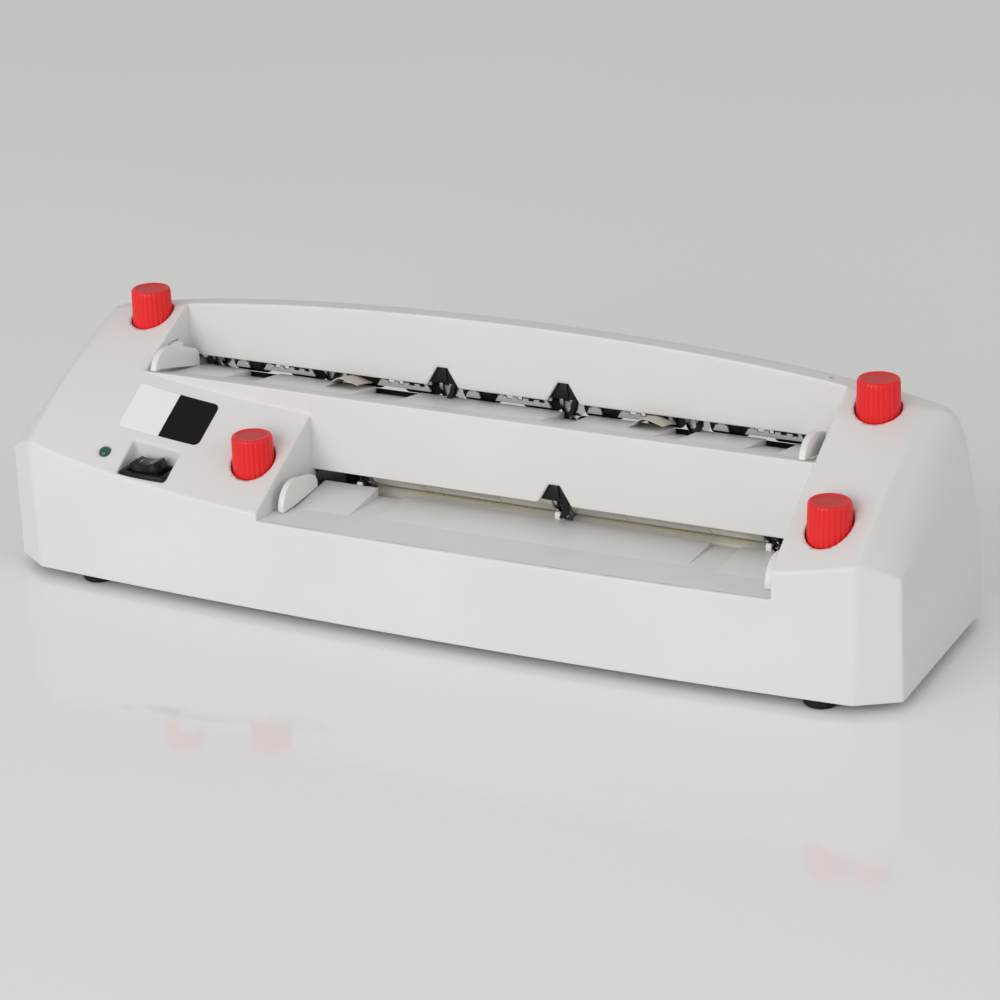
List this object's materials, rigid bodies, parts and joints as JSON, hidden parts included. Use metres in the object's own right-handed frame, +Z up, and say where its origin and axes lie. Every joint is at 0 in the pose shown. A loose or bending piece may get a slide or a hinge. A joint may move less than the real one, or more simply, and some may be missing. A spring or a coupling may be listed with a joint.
{
  "type": "business card cutter",
  "caption": "Low desk machine with two stepped feed bays, rotary cutter shafts behind them, red side-guide knobs, a rocker switch and a motor geared to both units.",
  "frame": {"origin": "middle of the bounding box's underside, on the surface the rubber feet stand on", "axes": "+X along the length towards the end beside the lower bay, +Y from the front face to the back, +Z up"},
  "size_m": [0.408, 0.1128, 0.112],
  "materials": {
    "cover": "fine satin",
    "pan": "matt",
    "screws": "plain",
    "feet": "matt",
    "tray": "satin",
    "label": "printed in two plain halves",
    "lamp": "tinted",
    "black_parts": "matt",
    "switch_black": "semi-gloss",
    "frames": "zinc plated",
    "shafts": "ground",
    "bushes": "sintered bronze",
    "motor": "satin",
    "comb": "satin",
    "leaves": "satin",
    "chutes": "satin",
    "board": "solder resist",
    "gears_plastic": "acetal",
    "brass_parts": "machined",
    "discs": "hardened, ground edge",
    "rubber_rollers": "fine ground",
    "gears_steel": "cut teeth",
    "sleeves": "polished",
    "knobs": "satin, fine grip flutes",
    "guides": "satin"
  },
  "bodies": {
    "casing": {"top_cover": "cover", "bottom_pan": "pan", "pan_screws": "screws", "rubber_feet": "feet", "upper_feed_tray": "tray", "lower_feed_tray": "tray", "label_plate": "label", "power_lamp": "lamp", "lamp_holder": "black_parts", "switch_body": "switch_black", "left_frame": "frames", "centre_frame": "frames", "right_frame": "frames", "tie_bars": "shafts", "shaft_bushes": "bushes", "gear_axles": "shafts", "motor_body": "motor", "motor_bracket": "frames", "guide_comb": "comb", "upper_strippers": "black_parts", "lower_stripper": "black_parts", "hold_down_leaves": "leaves", "upper_exit_chute": "chutes", "lower_exit_chute": "chutes", "rack_brackets": "black_parts", "circuit_board": "board", "power_inlet": "black_parts"},
    "switch_rocker_body": {"switch_rocker": "switch_black"},
    "upper_top_unit": {"upper_top_shaft": "shafts", "upper_top_discs": "discs", "upper_top_rollers": "rubber_rollers", "upper_top_gear": "gears_plastic"},
    "upper_bottom_unit": {"upper_bottom_shaft": "shafts", "upper_bottom_discs": "discs", "upper_bottom_rollers": "rubber_rollers", "upper_bottom_gear": "gears_steel", "upper_drive_gear": "gears_plastic"},
    "lower_top_unit": {"lower_top_shaft": "shafts", "lower_top_discs": "discs", "lower_top_rollers": "sleeves", "lower_top_gear": "gears_plastic"},
    "lower_bottom_unit": {"lower_bottom_shaft": "shafts", "lower_bottom_discs": "discs", "lower_bottom_rollers": "sleeves", "lower_bottom_gear": "gears_steel"},
    "transfer": {"transfer_gear": "gears_plastic"},
    "compound": {"compound_gear": "gears_plastic"},
    "motor_rotor": {"motor_spindle": "brass_parts"},
    "knob_unit_front_left": {"knob_front_left": "knobs", "spindle_front_left": "brass_parts"},
    "guide_unit_front_left": {"guide_front_left": "guides"},
    "knob_unit_front_right": {"knob_front_right": "knobs", "spindle_front_right": "brass_parts"},
    "guide_unit_front_right": {"guide_front_right": "guides"},
    "knob_unit_rear_left": {"knob_rear_left": "knobs", "spindle_rear_left": "brass_parts"},
    "guide_unit_rear_left": {"guide_rear_left": "guides"},
    "knob_unit_rear_right": {"knob_rear_right": "knobs", "spindle_rear_right": "brass_parts"},
    "guide_unit_rear_right": {"guide_rear_right": "guides"}
  },
  "joints": [
    {"name": "upper_bottom_spin", "type": "hinge", "parent": "casing", "child": "upper_bottom_unit", "pos_m": [0, 0.03844, 0.06323], "axis": [1, 0, 0], "continuous": true},
    {"name": "upper_top_spin", "type": "hinge", "parent": "casing", "child": "upper_top_unit", "pos_m": [0, 0.0427, 0.0803], "axis": [1, 0, 0], "continuous": true},
    {"name": "lower_bottom_spin", "type": "hinge", "parent": "casing", "child": "lower_bottom_unit", "pos_m": [0, 0.00552, 0.03342], "axis": [1, 0, 0], "continuous": true},
    {"name": "lower_top_spin", "type": "hinge", "parent": "casing", "child": "lower_top_unit", "pos_m": [0, 0.0064, 0.051], "axis": [1, 0, 0], "continuous": true},
    {"name": "transfer_spin", "type": "hinge", "parent": "casing", "child": "transfer", "pos_m": [0.172, 0.02396, 0.04614], "axis": [1, 0, 0], "continuous": true},
    {"name": "compound_spin", "type": "hinge", "parent": "casing", "child": "compound", "pos_m": [-0.17, 0.02216, 0.05655], "axis": [1, 0, 0], "continuous": true},
    {"name": "motor_spin", "type": "hinge", "parent": "casing", "child": "motor_rotor", "pos_m": [-0.15, 0.0156, 0.0318], "axis": [1, 0, 0], "continuous": true},
    {"name": "knob_front_left_turn", "type": "hinge", "parent": "casing", "child": "knob_unit_front_left", "pos_m": [-0.0863, -0.0322, 0.0547], "axis": [0, 0, 1], "range_deg": [-40.2, 40.2]},
    {"name": "guide_front_left_slide", "type": "slide", "parent": "casing", "child": "guide_unit_front_left", "axis": [1, 0, 0], "range_m": [-0.0028, 0.0028]},
    {"name": "knob_front_right_turn", "type": "hinge", "parent": "casing", "child": "knob_unit_front_right", "pos_m": [0.171, -0.0326, 0.0624], "axis": [0, 0, 1], "range_deg": [-40.2, 40.2]},
    {"name": "guide_front_right_slide", "type": "slide", "parent": "casing", "child": "guide_unit_front_right", "axis": [1, 0, 0], "range_m": [-0.0028, 0.0028]},
    {"name": "knob_rear_left_turn", "type": "hinge", "parent": "casing", "child": "knob_unit_rear_left", "pos_m": [-0.1688, 0.0239, 0.0934], "axis": [0, 0, 1], "range_deg": [-40.2, 40.2]},
    {"name": "guide_rear_left_slide", "type": "slide", "parent": "casing", "child": "guide_unit_rear_left", "axis": [1, 0, 0], "range_m": [-0.0028, 0.0028]},
    {"name": "knob_rear_right_turn", "type": "hinge", "parent": "casing", "child": "knob_unit_rear_right", "pos_m": [0.1698, 0.0239, 0.0934], "axis": [0, 0, 1], "range_deg": [-40.2, 40.2]},
    {"name": "guide_rear_right_slide", "type": "slide", "parent": "casing", "child": "guide_unit_rear_right", "axis": [1, 0, 0], "range_m": [-0.0028, 0.0028]},
    {"name": "switch_tilt", "type": "hinge", "parent": "casing", "child": "switch_rocker_body", "pos_m": [-0.1312, -0.0436, 0.051], "axis": [0, 1, 0], "range_deg": [0, 8]}
  ],
  "couplings": [
    {"joint": "upper_top_spin", "follows": "upper_bottom_spin", "ratio": -1},
    {"joint": "lower_bottom_spin", "follows": "upper_bottom_spin", "ratio": 1},
    {"joint": "lower_top_spin", "follows": "upper_bottom_spin", "ratio": -1},
    {"joint": "transfer_spin", "follows": "upper_bottom_spin", "ratio": -0.64706},
    {"joint": "compound_spin", "follows": "upper_bottom_spin", "ratio": -1.4444},
    {"joint": "motor_spin", "follows": "upper_bottom_spin", "ratio": 5.1587},
    {"joint": "knob_front_left_turn", "follows": "guide_front_left_slide", "rad_per_m": -250},
    {"joint": "knob_front_right_turn", "follows": "guide_front_right_slide", "rad_per_m": -250},
    {"joint": "knob_rear_left_turn", "follows": "guide_rear_left_slide", "rad_per_m": 250},
    {"joint": "knob_rear_right_turn", "follows": "guide_rear_right_slide", "rad_per_m": 250}
  ]
}
